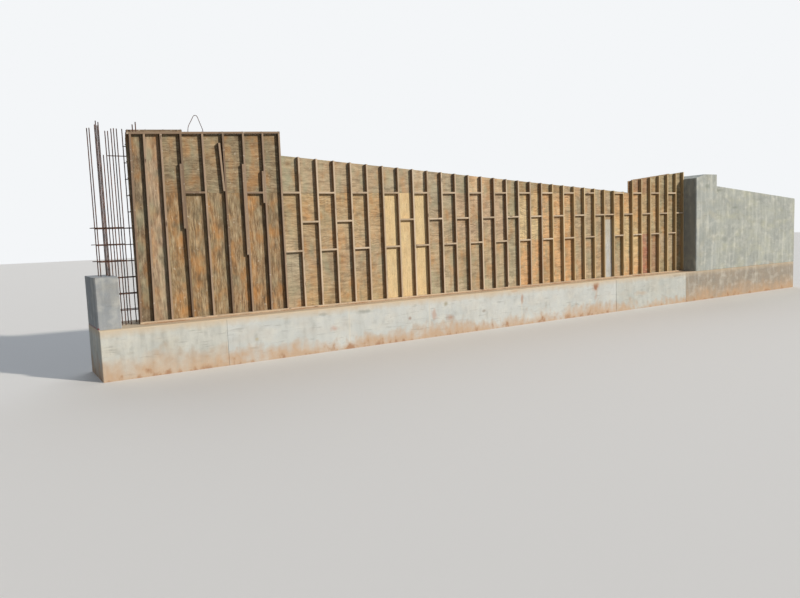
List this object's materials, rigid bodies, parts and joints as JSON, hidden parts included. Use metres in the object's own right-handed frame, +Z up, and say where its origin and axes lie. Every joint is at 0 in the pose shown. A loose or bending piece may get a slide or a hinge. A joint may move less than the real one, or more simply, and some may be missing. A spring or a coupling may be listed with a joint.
{
  "type": "bridge curtain wall with its formwork and reinforcement",
  "caption": "Long cast concrete base carrying a two-sided timber wall form with reinforcing bars, ending in a finished concrete pilaster and sloping wing wall.",
  "frame": {"origin": "centre of the base's underside, midway between the base's left end and the wing wall's right end", "axes": "+X along the wall from the bar cage to the wing wall, +Y from the outer side to the inner side, +Z up"},
  "size_m": [22.8248, 1.3724, 4.8471],
  "materials": {
    "cast_concrete": "cast against boards, dusty and stained",
    "weathered_plywood": "reused sheets, weathered and stained",
    "new_plywood": "new sheet, clean",
    "coated_plywood": "pale coated face",
    "framing_timber": "sawn softwood, weathered",
    "reinforcing_steel": "hot rolled, thin rust"
  },
  "bodies": {
    "root": {"base_left": "cast_concrete", "base_middle": "cast_concrete", "base_right": "cast_concrete", "bent_bar_loop": "reinforcing_steel", "cage_hoops": "reinforcing_steel", "end_pilaster": "cast_concrete", "end_stub": "cast_concrete", "front_blocks_high": "framing_timber", "front_blocks_low": "framing_timber", "front_blocks_middle": "framing_timber", "front_bottom_plates": "framing_timber", "front_cage_bars": "reinforcing_steel", "front_coated_strip": "coated_plywood", "front_level_bars": "reinforcing_steel", "front_lower_sheets": "weathered_plywood", "front_middle_sheets": "weathered_plywood", "front_new_sheet": "new_plywood", "front_step_sheet": "weathered_plywood", "front_step_studs": "framing_timber", "front_studs_left": "framing_timber", "front_studs_middle": "framing_timber", "front_studs_right": "framing_timber", "front_tall_blocks": "framing_timber", "front_tall_end_sheets": "weathered_plywood", "front_tall_lower_sheets": "weathered_plywood", "front_tall_scabs": "framing_timber", "front_tall_studs": "framing_timber", "front_tall_top_plate": "framing_timber", "front_tall_upper_sheet": "weathered_plywood", "front_top_sheets": "weathered_plywood", "front_vertical_bars": "reinforcing_steel", "rear_blocks": "framing_timber", "rear_bottom_plates": "framing_timber", "rear_cage_bars": "reinforcing_steel", "rear_level_bars": "reinforcing_steel", "rear_long_studs": "framing_timber", "rear_lower_sheets": "weathered_plywood", "rear_middle_sheets": "weathered_plywood", "rear_step_sheet": "weathered_plywood", "rear_step_studs": "framing_timber", "rear_tall_sheets": "weathered_plywood", "rear_tall_studs": "framing_timber", "rear_tall_top_plate": "framing_timber", "rear_top_sheets": "weathered_plywood", "rear_vertical_bars": "reinforcing_steel", "wing_base": "cast_concrete", "wing_wall": "cast_concrete"}
  },
  "joints": []
}
